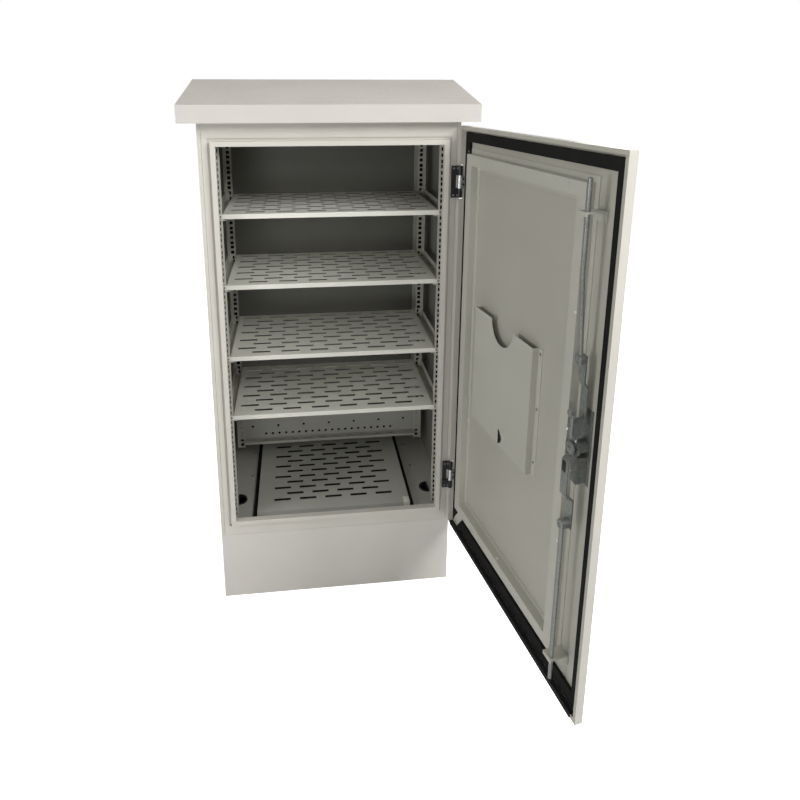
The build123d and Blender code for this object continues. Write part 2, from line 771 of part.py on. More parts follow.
def hinges():
    """Two pin hinges: a leaf with two knuckles on the frame, a leaf with one on the door, and a pin."""
    half = hinge_height / 2
    inner = hinge_middle / 2
    tall = half - inner
    pins = []
    for z, where in zip(hinge_heights, ("lower", "upper")):
        leaf_x = hinge_x - leaf_reach
        leaf = block(leaf_x, leaf_x + leaf_base, -leaf_base_thick, 0, z - half, z + half)
        for low in (z - half, z + inner):
            leaf += block(leaf_x, hinge_x, hinge_y, -fit_gap, low, low + tall)
            leaf += rod(hinge_x, hinge_y, low, knuckle_r, tall, "z")
        leaf -= rod(hinge_x, hinge_y, z - half - 1, pin_r + running_gap, hinge_height + 2, "z")
        save(f"hinge_{where}_frame_leaf", leaf)
        low = z - inner + fit_gap
        middle = hinge_middle - 2 * fit_gap
        plate_x = half_width - sheet
        door_leaf = block(plate_x - leaf_plate, plate_x, skin_inner + fit_gap, hinge_y - leaf_edge, low, low + middle)
        door_leaf += rod(hinge_x, hinge_y, low, knuckle_r, middle, "z")
        door_leaf -= rod(hinge_x, hinge_y, low - 1, pin_r + running_gap, middle + 2, "z")
        save(f"hinge_{where}_door_leaf", door_leaf, True)
        pin = rod(hinge_x, hinge_y, z - half, pin_r, hinge_height, "z")
        pin += rod(hinge_x, hinge_y, z + half, pin_r + 1, pin_head, "z")
        pins.append(pin.solid())
    save("hinge_pins", Compound(pins))


def lock():
    """The rod lock inside the door: plate, case, cam with two pins, and two rods with bent bars in guides."""
    half = lock_plate_width / 2
    plate_top = skin_inner + heavy_sheet
    case_top = plate_top + lock_case_depth
    tall = lock_plate_height / 2
    body = block(lock_x - half, lock_x + half, skin_inner, plate_top, lock_z - tall, lock_z + tall)
    key_z = lock_z - key_drop
    wide = lock_case_width / 2
    tall = lock_case_height / 2
    case = block(lock_x - wide, lock_x + wide, plate_top, case_top, key_z - tall, key_z + tall)
    body += fillet(case.edges().filter_by(Axis.Y), lock_case_round)
    body += rod(lock_x, plate_top, lock_z, lock_boss_r, lock_case_depth, "y")
    body -= rod(lock_x, skin_inner - 1, lock_z, spindle_r + running_gap, case_top - skin_inner + 2, "y")
    body -= rod(lock_x, skin_inner - 1, key_z, key_r + running_gap, key_inside + fit_gap + 1, "y")
    save("lock_case", body, True)

    cam_low = case_top + fit_gap
    cam_high = cam_low + cam_thick
    front = skin_outer - handle_base_depth - lever_gap
    cam = rod(lock_x, cam_low, lock_z, cam_r, cam_thick, "y")
    cam += rod(lock_x, front, lock_z, spindle_r, cam_low - front, "y")
    layer = cam_high + fit_gap
    cam += rod(lock_x - cam_pin_arm, cam_high, lock_z, cam_pin_r, fit_gap + bar_thick, "y")
    cam += rod(lock_x + cam_pin_arm, cam_high, lock_z, cam_pin_r, 2 * fit_gap + 2 * bar_thick, "y")
    save("lock_cam", cam, True)

    slack = cam_pin_arm * cam_pin_swing + fit_gap
    half = bar_width / 2
    for side, name, path, eye in (
        (1, "top_rod", bar_high_path, rod_eye_up),
        (-1, "bottom_rod", bar_low_path, rod_eye_down),
    ):
        y0 = layer if side > 0 else layer + bar_thick + fit_gap
        slot_x = lock_x - side * cam_pin_arm
        inner_x = lock_x + side * (cam_pin_r + 3 * fit_gap)
        outer_x = slot_x - side * (cam_pin_r + bar_lap)
        low = lock_z - side * (cam_pin_r + bar_edge)
        high = lock_z + side * (cam_pin_r + slack + bar_edge)
        bar = block(inner_x + side * bar_lap, outer_x, y0, y0 + bar_thick, low, high)
        bar -= block(inner_x, slot_x - side * (cam_pin_r + fit_gap), y0 - 1, y0 + bar_thick + 1,
                     lock_z - side * (cam_pin_r + fit_gap), lock_z + side * (cam_pin_r + slack))
        line = [(abs(high - lock_z) - bar_lap, 0.0), *path]
        section = [(y0 + step, lock_z + side * run) for run, step in line]
        bar += prism(folded(section, -side * bar_thick), "x", lock_x - half, lock_x + half)
        if side > 0:
            gusset = [(y0 + step, lock_z + run) for run, step in bar_gusset_path]
            bar += prism(gusset, "x", lock_x - 1.5 * bar_gusset, lock_x - bar_gusset / 2)
        eye_z = lock_z + side * eye
        eye_low = y0 + path[-1][1]
        limit = opening_high - rod_tip_gap if side > 0 else opening_low + rod_tip_gap
        start = rod_lean_from if side > 0 else rod_depth
        bend = eye_z + side * rod_lean_end
        z0, z1 = sorted((bend, limit))
        bar += rod(lock_x, rod_depth, z0, rod_r, z1 - z0, "z")
        bar += Pos(lock_x, rod_depth, bend) * Sphere(rod_r)
        lean = degrees(atan2(rod_depth - start, side * rod_lean_end))
        length = hypot(rod_depth - start, rod_lean_end)
        bar += Pos(lock_x, start, eye_z) * Rot(-lean, 0, 0) * rod(0, 0, 0, rod_r, length, "z")
        bar += rod(lock_x, eye_low, eye_z, half, start + rod_r + rod_eye_head - eye_low, "y")
        save(name, bar, True)
        guide_low = door_high - rod_guide_top if side > 0 else door_low + rod_guide_low - rod_guide_sheet
        guide_high = guide_low + rod_guide_sheet
        x0, x1 = lock_x - rod_guide_free, lock_x + rod_guide_hinge
        top = rod_depth + rod_r + rod_guide_over
        guide = block(x0, x1, skin_inner, top, guide_low, guide_high)
        guide += block(x0, x1, skin_inner, skin_inner + rod_guide_sheet, guide_high - rod_guide_foot, guide_high)
        guide += block(x0, x1, top - rod_guide_sheet / 2, top, guide_high - rod_guide_lip, guide_high)
        guide -= rod(lock_x, rod_depth, guide_low - 1, rod_r + running_gap, rod_guide_sheet + 2, "z")
        save(f"{name}_guide", guide, True)


def handle():
    """The outside handle: a base on the skin, a hub on the spindle, a lever that lifts, and a key barrel."""
    half = handle_width / 2
    front = skin_outer - handle_base_depth
    top = lock_z + handle_above_spindle
    base = block(lock_x - half, lock_x + half, front, skin_outer, top - handle_height, top)
    base = fillet(base.edges().filter_by(Axis.Y), handle_round)
    base -= rod(lock_x, front - 1, lock_z, spindle_r + running_gap, handle_base_depth + 2, "y")
    base -= rod(lock_x, front - 1, lock_z - key_drop, key_r + running_gap, handle_base_depth + 2, "y")
    save("handle_base", base, True)
    outer = front - lever_gap
    hub_front = outer - hub_depth
    middle_y = outer - hub_depth / 2
    hub = block(lock_x - hub_half, lock_x + hub_half, hub_front, outer, lock_z - hub_half, lock_z + hub_half)
    hub = fillet(hub.edges().filter_by(Axis.Y), hub_fillet)
    pivot_x = lock_x + hub_half + hub_depth / 2 + fit_gap
    for side in (-1, 1):
        near = lock_z + side * (hub_half - ear_thick)
        hub += block(lock_x, pivot_x, hub_front, outer, near, lock_z + side * hub_half)
        hub += rod(pivot_x, middle_y, min(near, lock_z + side * hub_half), hub_depth / 2, ear_thick, "z")
    hub -= rod(pivot_x, middle_y, lock_z - hub_half - 1, lever_pin_r, 2 * hub_half + 2, "z")
    save("lock_hub", hub, True)
    save("lever_pin", rod(pivot_x, middle_y, lock_z - hub_half, lever_pin_r, 2 * hub_half, "z"), True)
    narrow = hub_half - ear_thick - fit_gap
    lever = block(pivot_x, lock_x + lever_length, hub_front, outer, lock_z - narrow, lock_z + narrow)
    lever += rod(pivot_x, middle_y, lock_z - narrow, hub_depth / 2, 2 * narrow, "z")
    grip = block(pivot_x + hub_depth, lock_x + lever_length, hub_front, outer,
                 lock_z - hub_half, lock_z + hub_half)
    lever += fillet(grip.edges().filter_by(Axis.Y), hub_fillet)
    lever -= rod(pivot_x, middle_y, lock_z - hub_half - 1, lever_pin_r + running_gap, 2 * hub_half + 2, "z")
    save("handle_lever", lever, True)
    length = skin_inner + key_inside - (front + key_sunk)
    barrel = rod(lock_x, front + key_sunk, lock_z - key_drop, key_r, length, "y")
    save("key_barrel", barrel, True)


os.makedirs("parts", exist_ok=True)
plinth()
side_panels()
back_panel()
top_plate()
opening_frame()
floor_pan()
cable_grommets()
floor_tray()
rack_rails()
rail_braces()
shelves()
cable_bar()
roof()
door_pan()
door_gasket()
drip_seal()
corner_tab()
stiffener()
document_pocket()
hinges()
lock()
handle()
print(len(saved), "pieces")
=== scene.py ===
import bmesh
import bpy
import json
from math import cos, pi, radians, sin
from mathutils import Matrix, Vector


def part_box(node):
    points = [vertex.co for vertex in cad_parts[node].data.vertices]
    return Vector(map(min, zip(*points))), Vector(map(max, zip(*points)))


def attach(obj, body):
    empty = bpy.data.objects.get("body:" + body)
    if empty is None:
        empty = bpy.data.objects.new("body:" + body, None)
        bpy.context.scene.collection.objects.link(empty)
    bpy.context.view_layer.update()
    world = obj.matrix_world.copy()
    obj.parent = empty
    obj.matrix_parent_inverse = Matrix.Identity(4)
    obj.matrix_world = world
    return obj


# Roadside utility cabinet: finishes, small fittings, floor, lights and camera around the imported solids.
# The fittings are made in millimetres with the door shut, y being the depth behind the body's front face,
# and are then set in the frame's metres and turned open with the door.
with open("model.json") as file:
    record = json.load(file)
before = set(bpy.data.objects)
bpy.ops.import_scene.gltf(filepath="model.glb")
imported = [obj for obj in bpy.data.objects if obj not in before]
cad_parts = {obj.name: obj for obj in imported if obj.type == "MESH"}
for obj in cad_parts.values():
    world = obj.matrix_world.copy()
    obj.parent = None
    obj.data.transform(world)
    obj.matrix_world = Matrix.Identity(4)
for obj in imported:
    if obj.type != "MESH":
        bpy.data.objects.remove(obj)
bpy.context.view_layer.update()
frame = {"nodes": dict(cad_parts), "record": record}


# Camera, close to where the photographer stood. The photograph is cropped off its centre: the lens is shifted
image_side = 800.0
sensor_width = 36.0
focal_px = 647.1
centre_px = (373.1, 245.0)
camera_place = Vector((-0.0879, -1.8498, 1.4137))
camera_yaw = 0.1186
camera_pitch = 0.2431
camera_roll = -0.0015


def set_camera():
    """Aims the camera: yaw to the right, pitch down, and a small roll."""
    data = bpy.data.cameras.new("camera")
    data.sensor_width = sensor_width
    data.lens = focal_px / image_side * sensor_width
    data.shift_x = (image_side / 2 - centre_px[0]) / image_side
    data.shift_y = (centre_px[1] - image_side / 2) / image_side
    data.clip_start = 0.05
    data.clip_end = 200.0
    ahead = cos(camera_pitch)
    forward = Vector((sin(camera_yaw) * ahead, cos(camera_yaw) * ahead, -sin(camera_pitch)))
    level = Vector((cos(camera_yaw), -sin(camera_yaw), 0.0))
    down = forward.cross(level)
    right = level * cos(camera_roll) + down * sin(camera_roll)
    up = level * sin(camera_roll) - down * cos(camera_roll)
    turn = Matrix((right, up, -forward)).transposed().to_4x4()
    camera = bpy.data.objects.new("camera", data)
    camera.matrix_world = Matrix.Translation(camera_place) @ turn
    bpy.context.scene.collection.objects.link(camera)
    bpy.context.scene.camera = camera


# Texture groups: each puts out a colour, a roughness and a height for a Bump node
results = (("Color", "NodeSocketColor"), ("Roughness", "NodeSocketFloat"), ("Height", "NodeSocketFloat"))


def new_group(name, inputs):
    """An empty shader node group with its inputs (name, kind, default) and the three surface outputs."""
    group = bpy.data.node_groups.new(name, "ShaderNodeTree")
    for label, kind, value in inputs:
        socket = group.interface.new_socket(name=label, in_out="INPUT", socket_type=kind)
        socket.default_value = value
    for label, kind in results:
        group.interface.new_socket(name=label, in_out="OUTPUT", socket_type=kind)
    return group, group.nodes.new("NodeGroupInput").outputs


def close_group(group, color, roughness, height):
    """Ties the three results to the group's outputs."""
    end = group.nodes.new("NodeGroupOutput")
    for label, result in (("Color", color), ("Roughness", roughness), ("Height", height)):
        group.links.new(result, end.inputs[label])
    return group


def plug(tree, source, socket):
    """Links an output to a socket, or sets the socket to a plain value."""
    if isinstance(source, bpy.types.NodeSocket):
        tree.links.new(source, socket)
    else:
        socket.default_value = source


def object_place(tree):
    """The point on the piece, in its own coordinates."""
    return tree.nodes.new("ShaderNodeTexCoord").outputs["Object"]


def noise(tree, where, scale, detail, roughness):
    """Cloudy noise between 0 and 1."""
    node = tree.nodes.new("ShaderNodeTexNoise")
    for label, source in (("Vector", where), ("Scale", scale), ("Detail", detail), ("Roughness", roughness)):
        plug(tree, source, node.inputs[label])
    return node.outputs[0]


def remap(tree, value, low, high, to_low, to_high):
    """Stretches one range of a value to another and holds it there."""
    node = tree.nodes.new("ShaderNodeMapRange")
    for index, source in enumerate((value, low, high, to_low, to_high)):
        plug(tree, source, node.inputs[index])
    return node.outputs[0]


def arithmetic(tree, operation, first, second=0.0):
    """One sum on two values."""
    node = tree.nodes.new("ShaderNodeMath")
    node.operation = operation
    plug(tree, first, node.inputs[0])
    plug(tree, second, node.inputs[1])
    return node.outputs[0]


def mix_colors(tree, amount, first, second):
    """Goes from the first colour to the second as the amount goes from 0 to 1."""
    node = tree.nodes.new("ShaderNodeMix")
    node.data_type = "RGBA"
    plug(tree, amount, node.inputs[0])
    plug(tree, first, node.inputs[6])
    plug(tree, second, node.inputs[7])
    return node.outputs[2]


def coat_texture_group():
    """Powder coat: fine orange peel, cloudy tone and faint dust that gathers on faces that look up."""
    group, given = new_group("powder_coat_texture", [
        ("Color", "NodeSocketColor", (0.6, 0.6, 0.56, 1.0)),
        ("Cloud", "NodeSocketFloat", 0.04),
        ("Dust", "NodeSocketFloat", 0.05),
        ("Roughness", "NodeSocketFloat", 0.45),
    ])
    where = object_place(group)
    peel = noise(group, where, 620.0, 2.0, 0.5)
    cloud = noise(group, where, 5.0, 4.0, 0.55)
    speck = noise(group, where, 90.0, 3.0, 0.6)
    tone = arithmetic(group, "MULTIPLY", remap(group, cloud, 0.3, 0.7, -1.0, 1.0), given["Cloud"])
    toned = group.nodes.new("ShaderNodeVectorMath")
    toned.operation = "SCALE"
    plug(group, given["Color"], toned.inputs[0])
    plug(group, arithmetic(group, "ADD", tone, 1.0), toned.inputs["Scale"])
    normal = group.nodes.new("ShaderNodeSeparateXYZ")
    plug(group, group.nodes.new("ShaderNodeNewGeometry").outputs["Normal"], normal.inputs[0])
    looks_up = remap(group, normal.outputs["Z"], 0.4, 1.0, 0.0, 1.0)
    settled = arithmetic(group, "MULTIPLY", looks_up, remap(group, speck, 0.42, 0.66, 0.0, 1.0))
    dust = arithmetic(group, "MULTIPLY", settled, given["Dust"])
    dust_color = (0.42, 0.38, 0.32, 1.0)
    swing = remap(group, cloud, 0.3, 0.7, -0.05, 0.07)
    return close_group(group, mix_colors(group, dust, toned.outputs[0], dust_color),
                       arithmetic(group, "ADD", given["Roughness"], swing), peel)


def zinc_texture_group():
    """Zinc plate: soft crystalline patches and fine rolling lines."""
    group, given = new_group("zinc_texture", [
        ("Light", "NodeSocketColor", (0.72, 0.75, 0.78, 1.0)),
        ("Dark", "NodeSocketColor", (0.42, 0.45, 0.48, 1.0)),
        ("Roughness", "NodeSocketFloat", 0.33),
    ])
    where = object_place(group)
    spangle = group.nodes.new("ShaderNodeTexVoronoi")
    plug(group, where, spangle.inputs["Vector"])
    plug(group, 420.0, spangle.inputs["Scale"])
    haze = noise(group, where, 140.0, 4.0, 0.6)
    rolled = group.nodes.new("ShaderNodeMapping")
    plug(group, where, rolled.inputs["Vector"])
    plug(group, (900.0, 900.0, 40.0), rolled.inputs["Scale"])
    lines = noise(group, rolled.outputs[0], 1.0, 2.0, 0.5)
    patches = group.nodes.new("ShaderNodeMix")
    plug(group, 0.35, patches.inputs[0])
    plug(group, haze, patches.inputs[2])
    plug(group, spangle.outputs["Color"], patches.inputs[3])
    shade = remap(group, patches.outputs[0], 0.3, 0.7, 0.0, 1.0)
    swing = remap(group, haze, 0.3, 0.7, -0.08, 0.1)
    return close_group(group, mix_colors(group, shade, given["Dark"], given["Light"]),
                       arithmetic(group, "ADD", given["Roughness"], swing), lines)


def moulded_texture_group():
    """Moulded or foamed black goods: fine grain and greyish bloom."""
    group, given = new_group("moulded_texture", [
        ("Color", "NodeSocketColor", (0.03, 0.03, 0.03, 1.0)),
        ("Bloom", "NodeSocketColor", (0.08, 0.08, 0.08, 1.0)),
        ("Grain", "NodeSocketFloat", 700.0),
        ("Roughness", "NodeSocketFloat", 0.6),
    ])
    where = object_place(group)
    grain = noise(group, where, given["Grain"], 3.0, 0.6)
    cloud = noise(group, where, 35.0, 4.0, 0.6)
    bloom = remap(group, cloud, 0.4, 0.75, 0.0, 1.0)
    swing = remap(group, cloud, 0.3, 0.7, -0.08, 0.08)
    return close_group(group, mix_colors(group, bloom, given["Color"], given["Bloom"]),
                       arithmetic(group, "ADD", given["Roughness"], swing), grain)


powder = coat_texture_group()
zinc = zinc_texture_group()
moulded = moulded_texture_group()


# Finishes
def finish_material(name, group, values, metallic=0.0, bump=0.1, bump_distance=0.0002, specular=0.5):
    """A material whose colour, roughness and bump come from one texture group."""
    material = bpy.data.materials.new(name)
    material.use_nodes = True
    tree = material.node_tree
    shader = tree.nodes["Principled BSDF"]
    shader.inputs["Metallic"].default_value = metallic
    shader.inputs["Specular IOR Level"].default_value = specular
    texture = tree.nodes.new("ShaderNodeGroup")
    texture.node_tree = group
    for label, value in values.items():
        texture.inputs[label].default_value = value
    relief = tree.nodes.new("ShaderNodeBump")
    relief.inputs["Strength"].default_value = bump
    relief.inputs["Distance"].default_value = bump_distance
    tree.links.new(texture.outputs["Color"], shader.inputs["Base Color"])
    tree.links.new(texture.outputs["Roughness"], shader.inputs["Roughness"])
    tree.links.new(texture.outputs["Height"], relief.inputs["Height"])
    tree.links.new(relief.outputs["Normal"], shader.inputs["Normal"])
    material.diffuse_color = values.get("Color", (0.5, 0.5, 0.5, 1.0))
    return material


def coat(name, color, cloud=0.03, dust=0.08, roughness=0.44):
    """One powder coat in its own colour."""
    values = {"Color": (*color, 1.0), "Cloud": cloud, "Dust": dust, "Roughness": roughness}
    return finish_material(name, powder, values)


def plating(name, light, dark, roughness, metallic):
    """Zinc plate between a light and a dark tone."""
    values = {"Light": (*light, 1.0), "Dark": (*dark, 1.0), "Roughness": roughness}
    return finish_material(name, zinc, values, metallic=metallic, bump=0.02, bump_distance=0.00005)


def black_goods(name, color, bloom, roughness, grain=700.0, **relief):
    """Black coat, plastic, rubber or foam."""
    values = {"Color": (*color, 1.0), "Bloom": (*bloom, 1.0), "Grain": grain, "Roughness": roughness}
    return finish_material(name, moulded, values, **relief)


finishes = {
    "body_coat": coat("body_coat", (0.640, 0.616, 0.557), dust=0.10, roughness=0.42),
    "roof_coat": coat("roof_coat", (0.740, 0.705, 0.650), dust=0.12, roughness=0.5),
    "plinth_coat": coat("plinth_coat", (0.660, 0.635, 0.588), cloud=0.04, dust=0.15, roughness=0.46),
    "inner_coat": coat("inner_coat", (0.520, 0.512, 0.448), dust=0.06, roughness=0.4),
    "zinc_plate": plating("zinc_plate", (0.33, 0.345, 0.325), (0.22, 0.235, 0.225), 0.38, 0.6),
    "black_coat": black_goods("black_coat", (0.010, 0.010, 0.011), (0.022, 0.022, 0.022), 0.42, bump=0.15),
    "black_handle": black_goods("black_handle", (0.015, 0.015, 0.016), (0.035, 0.035, 0.035), 0.5, bump=0.2),
    "rubber_seal": black_goods("rubber_seal", (0.009, 0.009, 0.009), (0.020, 0.019, 0.018), 0.75,
                               bump=0.3, specular=0.3),
    "foam_seal": black_goods("foam_seal", (0.009, 0.009, 0.009), (0.018, 0.017, 0.016), 0.9, grain=1200.0,
                             bump=0.5, bump_distance=0.0004, specular=0.2),
}
shelf_coat = coat("shelf_coat", (0.760, 0.750, 0.675), dust=0.05, roughness=0.4)
floor_coat = coat("floor_coat", (0.460, 0.458, 0.415), cloud=0.06, dust=0.18, roughness=0.48)
# a darker copy of the roof coat: painted shade on the roof's upright faces
roof_side_painted_shade_coat = coat("roof_side_painted_shade_coat", (0.640, 0.612, 0.565), dust=0.1, roughness=0.5)
# a dark coat that paints shade onto the walls' inner faces and the top plate's underside
wall_painted_shade_coat = coat("wall_painted_shade_coat", (0.240, 0.238, 0.213), cloud=0.04, dust=0.05, roughness=0.46)
# near-black painted shade for the slot walls of the punched sheets
slot_painted_shade_coat = coat("slot_painted_shade_coat", (0.030, 0.030, 0.027), dust=0.0, roughness=0.6)
# a darker copy of the inner coat: painted shade on the door's inner skin
door_skin_painted_shade_coat = coat("door_skin_painted_shade_coat", (0.470, 0.460, 0.395), dust=0.04, roughness=0.4)
bright_zinc = plating("bright_zinc", (0.90, 0.91, 0.92), (0.70, 0.72, 0.73), 0.2, 0.7)
# near-black sheet material that stands in for shade behind the punched rails and the cable bar
painted_shade_liner = black_goods("painted_shade_liner", (0.006, 0.006, 0.006), (0.010, 0.010, 0.010), 0.9,
                         bump=0.1, specular=0.1)

shelves = ("shelf_1", "shelf_2", "shelf_3", "shelf_4")
own_finish = {shelf: shelf_coat for shelf in shelves}
own_finish |= {node: floor_coat for node in ("floor_pan", "floor_tray", "cable_bar")}
own_finish |= {node: bright_zinc for node in ("hinge_lower_door_leaf", "hinge_upper_door_leaf")}
for row in frame["record"]["subparts"]:
    mesh = frame["nodes"][row["node"]].data
    mesh.materials.clear()
    mesh.materials.append(own_finish.get(row["node"], finishes[row["material_slot"]]))


# Some solids carry a second coat on part of their faces: a dark coat of painted shade inside the walls and
# under the top plate, a darker copy of the inner coat as painted shade on the door's inner skin, a darker
# copy of the roof coat as painted shade on the roof's upright faces, and near-black painted shade in the
# slots
def coat_faces(node, second_finish, takes_it):
    """Gives a second finish to the faces whose middle and normal pass a test, and leaves the shape alone."""
    mesh = frame["nodes"][node].data
    mesh.materials.append(second_finish)
    for face in mesh.polygons:
        if takes_it(face.center, face.normal):
            face.material_index = 1


def paint_shade_in_slot_edges(name):
    """Paints shade onto the cut edges of a punched sheet, which lie under its top and clear of its rims, so
    that its slots look dark.
    """
    punched_depth = 0.0025
    rim_x = 0.008
    rim_y = 0.006
    low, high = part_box(name)
    coat_faces(name, slot_painted_shade_coat, lambda middle, normal: (
        abs(normal.z) < 0.5 and middle.z > high[2] - punched_depth
        and low[0] + rim_x < middle.x < high[0] - rim_x and low[1] + rim_y < middle.y < high[1] - rim_y))


open_turn = radians(99.4)
door_inward = Vector((-sin(open_turn), cos(open_turn), 0.0))
coat_faces("back_panel", wall_painted_shade_coat, lambda middle, normal: normal.y < -0.5)
coat_faces("side_panel_left", wall_painted_shade_coat, lambda middle, normal: normal.x > 0.5)
coat_faces("side_panel_right", wall_painted_shade_coat, lambda middle, normal: normal.x < -0.5)
coat_faces("roof_cover", roof_side_painted_shade_coat, lambda middle, normal: abs(normal.z) < 0.5)
coat_faces("top_plate", wall_painted_shade_coat, lambda middle, normal: normal.z < -0.5)
coat_faces("door_pan", door_skin_painted_shade_coat, lambda middle, normal: normal.dot(door_inward) > 0.7)
for sheet in (*shelves, "floor_tray"):
    paint_shade_in_slot_edges(sheet)


# Small fittings, in millimetres, with the heights and depths of what they sit on
frontward = (0.0, -1.0, 0.0)
backward = (0.0, 1.0, 0.0)
upward = (0.0, 0.0, 1.0)
both_sides = (-1.0, 1.0)
metres_per_mm = 0.001
sunk = -0.2
smooth_below = radians(38.0)
door_bodies = ("door", "lock_turn_body", "upper_rod", "lower_rod")
hinge_line = Vector((320.0, -6.3, 0.0))
hinge_heights = (347.0, 1177.0)
front_face = 265.0
door_sheet = -19.3
stiffener_foot = -17.8
gasket_front = -12.3
stiffener_top = -0.3
lock_x = -255.0
lock_z = 770.0
floor_top = 225.0
tray_foot_top = 226.5
tray_top = 243.0
tray_middle = -5.0
shelf_front = 24.2
shelf_tops = (549.0, 719.0, 915.0, 1100.0)


def to_frame(body):
    """From the shut cabinet's millimetres to the frame's metres, with the door turned open."""
    place = Matrix.Scale(metres_per_mm, 4) @ Matrix.Translation((0.0, -front_face, 0.0))
    if body in door_bodies:
        swing = Matrix.Rotation(open_turn, 4, "Z")
        place = place @ Matrix.Translation(hinge_line) @ swing @ Matrix.Translation(-hinge_line)
    return place


def facing(origin, out, lean=upward):
    """A place whose local Z looks along out and whose local Y leans one way."""
    z = Vector(out).normalized()
    x = Vector(lean).cross(z).normalized()
    y = z.cross(x)
    return Matrix.Translation(origin) @ Matrix((x, y, z)).transposed().to_4x4()


def add_part(piece, part, place):
    """Closes a part, sets it in its place and adds it to the piece."""
    bmesh.ops.remove_doubles(part, verts=part.verts, dist=0.001)
    bmesh.ops.recalc_face_normals(part, faces=part.faces)
    part.transform(place)
    mesh = bpy.data.meshes.new("part")
    part.to_mesh(mesh)
    part.free()
    piece.from_mesh(mesh)
    bpy.data.meshes.remove(mesh)


def bevel(part, edges, offset, segments):
    """Rounds the given edges."""
    bmesh.ops.bevel(part, geom=edges, offset=offset, offset_type="OFFSET", segments=segments, profile=0.5,
                    affect="EDGES", material=-1)


def top_rim(part, height):
    """The edges that lie at a flat part's top."""
    return [edge for edge in part.edges if min(vert.co.z for vert in edge.verts) > height - 0.001]


def turned(outline, steps=16):
    """A round part: an outline of (radius, height) points spun about Z."""
    part = bmesh.new()
    points = [part.verts.new((radius, 0.0, height)) for radius, height in outline]
    edges = [part.edges.new(pair) for pair in zip(points, points[1:])]
    bmesh.ops.spin(part, geom=points + edges, cent=(0.0, 0.0, 0.0), axis=upward, angle=2 * pi, steps=steps,
                   use_merge=True)
    return part


def disc(radius, sides, height):
    """A flat disc or prism that stands on the local XY plane."""
    part = bmesh.new()
    bmesh.ops.create_circle(part, cap_ends=True, segments=sides, radius=radius)
    pushed = bmesh.ops.extrude_face_region(part, geom=part.faces[:])
    tops = [item for item in pushed["geom"] if isinstance(item, bmesh.types.BMVert)]
    bmesh.ops.translate(part, verts=tops, vec=(0.0, 0.0, height))
    return part


def screw(radius, height):
    """A pan head with a round recess, sunk a little into what carries it."""
    return turned([(0.0, 0.35 * height), (0.30 * radius, 0.40 * height), (0.42 * radius, height),
                   (0.70 * radius, 0.96 * height), (0.92 * radius, 0.70 * height), (radius, 0.30 * height),
                   (radius, sunk), (0.0, sunk)])


def dimple(radius, height):
    """A low round weld mark with a sunk middle."""
    return turned([(0.0, 0.25 * height), (0.35 * radius, 0.35 * height), (0.60 * radius, height),
                   (0.82 * radius, 0.9 * height), (radius, 0.0), (radius, sunk), (0.0, sunk)], 12)


def plate(width, height, thick, corner, edge):
    """A flat part with round corners and eased edges, its back on the local XY plane."""
    part = bmesh.new()
    bmesh.ops.create_cube(part, size=1.0, matrix=Matrix.Translation((0.0, 0.0, thick / 2))
                          @ Matrix.Diagonal((width, height, thick, 1.0)))
    bevel(part, [e for e in part.edges if abs(e.verts[0].co.z - e.verts[1].co.z) > thick / 2], corner, 4)
    bevel(part, top_rim(part, thick), edge, 2)
    return part


def hexagon(across, height):
    """A nut or bolt head with its corners eased."""
    part = disc(across / 1.732, 6, height)
    bevel(part, top_rim(part, height), 0.12 * across, 2)
    return part


def toothed_disc(radius, teeth, height, tooth):
    """A disc with every second flank pushed out into a tooth."""
    part = disc(radius, 2 * teeth, height)
    part.normal_update()
    flanks = [face for face in part.faces if len(face.verts) == 4]
    flanks.sort(key=lambda face: Vector((1.0, 0.0)).angle_signed(face.calc_center_median().xy))
    pushed = bmesh.ops.extrude_discrete_faces(part, faces=flanks[::2])
    for face in pushed["faces"]:
        out = face.calc_center_median()
        out.z = 0.0
        bmesh.ops.translate(part, verts=face.verts[:], vec=out.normalized() * tooth)
    return part


def finish_piece(name, piece, body, slot, finish=None):
    """Sets the piece in the frame, gives it its finish and ties it to the body that carries it."""
    piece.transform(to_frame(body))
    for face in piece.faces:
        face.smooth = True
    mesh = bpy.data.meshes.new(name)
    piece.to_mesh(mesh)
    piece.free()
    mesh.set_sharp_from_angle(angle=smooth_below)
    mesh.materials.append(finish or finishes[slot])
    thing = bpy.data.objects.new(name, mesh)
    bpy.context.scene.collection.objects.link(thing)
    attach(thing, body)


def hinge_fittings():
    """Screws in the hinge leaves: dark ones on the door's middle leaf, bright ones on the frame's leaf."""
    dark = bmesh.new()
    bright = bmesh.new()
    leaf_face = 315.5
    for z in hinge_heights:
        for side in both_sides:
            add_part(dark, screw(2.8, 1.1), facing((leaf_face, -13.4, z + side * 7.0), (-1.0, 0.0, 0.0)))
        for side in both_sides:
            for x in (303.5, 313.5):
                add_part(bright, screw(2.6, 1.0), facing((x, hinge_line.y, z + side * 34.0), frontward))
    finish_piece("hinge_leaf_screws", dark, "door", "black_coat")
    finish_piece("hinge_frame_screws", bright, "cabinet", "zinc_plate")


